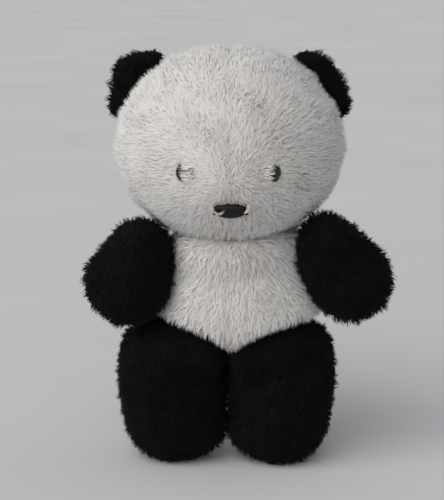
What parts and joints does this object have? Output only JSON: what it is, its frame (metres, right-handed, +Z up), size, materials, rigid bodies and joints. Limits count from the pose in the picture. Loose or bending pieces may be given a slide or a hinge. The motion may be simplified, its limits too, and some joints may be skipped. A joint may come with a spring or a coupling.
{
  "type": "plush panda toy",
  "caption": "Standing plush panda: white long-pile head and torso, black curly ears, arms and legs, plastic nose and eyes; head, ears and limbs bend at sewn joints.",
  "frame": {"origin": "middle of the panda's outline, at floor level under the soles", "axes": "+Z up, the face towards -Y, +X towards the panda's own left"},
  "size_m": [0.1818, 0.1134, 0.2525],
  "materials": {
    "white_long_pile": "knitted backing with a matted white acrylic pile about 9 mm long",
    "black_curly_pile": "knitted backing with a short curly black pile about 4 mm long",
    "polyester_filling": "loose polyester fibre",
    "white_thread": "spun polyester thread",
    "glossy_black_plastic": "moulded black plastic, polished",
    "satin_black_plastic": "moulded black plastic, satin with a fine grain",
    "washer_plastic": "natural white moulded plastic"
  },
  "bodies": {
    "torso": {"chest_left_panel": "white_long_pile", "chest_right_panel": "white_long_pile", "back_left_panel": "white_long_pile", "back_right_panel": "white_long_pile", "torso_stuffing": "polyester_filling", "back_closing_thread": "white_thread"},
    "head": {"face_left_panel": "white_long_pile", "face_right_panel": "white_long_pile", "head_back_panel": "white_long_pile", "head_stuffing": "polyester_filling", "eye_left": "glossy_black_plastic", "eye_left_washer": "washer_plastic", "eye_right": "glossy_black_plastic", "eye_right_washer": "washer_plastic", "nose": "satin_black_plastic", "nose_washer": "washer_plastic"},
    "ear_left": {"ear_left_front_panel": "black_curly_pile", "ear_left_back_panel": "black_curly_pile"},
    "ear_right": {"ear_right_front_panel": "black_curly_pile", "ear_right_back_panel": "black_curly_pile"},
    "neck_wadding": {"neck_wadding": "polyester_filling"},
    "neck_seam_thread": {"neck_seam_thread": "white_thread"},
    "arm_left": {"arm_left_front_panel": "black_curly_pile", "arm_left_back_panel": "black_curly_pile", "arm_left_stuffing": "polyester_filling"},
    "arm_left_root_wadding": {"arm_left_root_wadding": "polyester_filling"},
    "arm_right": {"arm_right_front_panel": "black_curly_pile", "arm_right_back_panel": "black_curly_pile", "arm_right_stuffing": "polyester_filling"},
    "arm_right_root_wadding": {"arm_right_root_wadding": "polyester_filling"},
    "leg_left": {"leg_left_front_panel": "black_curly_pile", "leg_left_back_panel": "black_curly_pile", "leg_left_stuffing": "polyester_filling"},
    "leg_left_root_wadding": {"leg_left_root_wadding": "polyester_filling"},
    "leg_right": {"leg_right_front_panel": "black_curly_pile", "leg_right_back_panel": "black_curly_pile", "leg_right_stuffing": "polyester_filling"},
    "leg_right_root_wadding": {"leg_right_root_wadding": "polyester_filling"}
  },
  "joints": [
    {"name": "head_nod", "type": "hinge", "parent": "torso", "child": "neck_wadding", "pos_m": [-0.00308, 0.00153, 0.141], "axis": [1, 0, 0], "range_deg": [-6, 6], "stiffness_Nm_per_rad": 0.5},
    {"name": "head_tilt", "type": "hinge", "parent": "neck_wadding", "child": "neck_seam_thread", "pos_m": [-0.00308, 0.00153, 0.141], "axis": [0, 1, 0], "range_deg": [-3, 3], "stiffness_Nm_per_rad": 0.5},
    {"name": "head_turn", "type": "hinge", "parent": "neck_seam_thread", "child": "head", "pos_m": [-0.00308, 0.00153, 0.141], "axis": [0, 0, 1], "range_deg": [-20, 20], "stiffness_Nm_per_rad": 0.15},
    {"name": "ear_left_fold", "type": "hinge", "parent": "head", "child": "ear_left", "pos_m": [0.05101, 0.01053, 0.23158], "axis": [-0.5446, 0, 0.8387], "range_deg": [-10, 10], "stiffness_Nm_per_rad": 0.02},
    {"name": "ear_right_fold", "type": "hinge", "parent": "head", "child": "ear_right", "pos_m": [-0.06318, 0.01053, 0.23158], "axis": [0.5446, 0, 0.8387], "range_deg": [-10, 10], "stiffness_Nm_per_rad": 0.02},
    {"name": "arm_left_swing", "type": "hinge", "parent": "torso", "child": "arm_left_root_wadding", "pos_m": [0.05042, -0.00547, 0.136], "axis": [-1, 0, 0], "range_deg": [-15, 30], "stiffness_Nm_per_rad": 0.1},
    {"name": "arm_left_raise", "type": "hinge", "parent": "arm_left_root_wadding", "child": "arm_left", "pos_m": [0.05042, -0.00547, 0.136], "axis": [0, -1, 0], "range_deg": [0, 35], "stiffness_Nm_per_rad": 0.1},
    {"name": "arm_right_swing", "type": "hinge", "parent": "torso", "child": "arm_right_root_wadding", "pos_m": [-0.05608, -0.00547, 0.136], "axis": [-1, 0, 0], "range_deg": [-15, 30], "stiffness_Nm_per_rad": 0.1},
    {"name": "arm_right_raise", "type": "hinge", "parent": "arm_right_root_wadding", "child": "arm_right", "pos_m": [-0.05608, -0.00547, 0.136], "axis": [0, 1, 0], "range_deg": [0, 35], "stiffness_Nm_per_rad": 0.1},
    {"name": "leg_left_swing", "type": "hinge", "parent": "torso", "child": "leg_left_root_wadding", "pos_m": [0.02492, 0.00153, 0.058], "axis": [-1, 0, 0], "range_deg": [-15, 50], "stiffness_Nm_per_rad": 1.2},
    {"name": "leg_left_spread", "type": "hinge", "parent": "leg_left_root_wadding", "child": "leg_left", "pos_m": [0.02492, 0.00153, 0.058], "axis": [0, -1, 0], "range_deg": [0, 5], "stiffness_Nm_per_rad": 1.2},
    {"name": "leg_right_swing", "type": "hinge", "parent": "torso", "child": "leg_right_root_wadding", "pos_m": [-0.04008, 0.00153, 0.058], "axis": [-1, 0, 0], "range_deg": [-15, 50], "stiffness_Nm_per_rad": 1.2},
    {"name": "leg_right_spread", "type": "hinge", "parent": "leg_right_root_wadding", "child": "leg_right", "pos_m": [-0.04008, 0.00153, 0.058], "axis": [0, 1, 0], "range_deg": [0, 5], "stiffness_Nm_per_rad": 1.2}
  ]
}
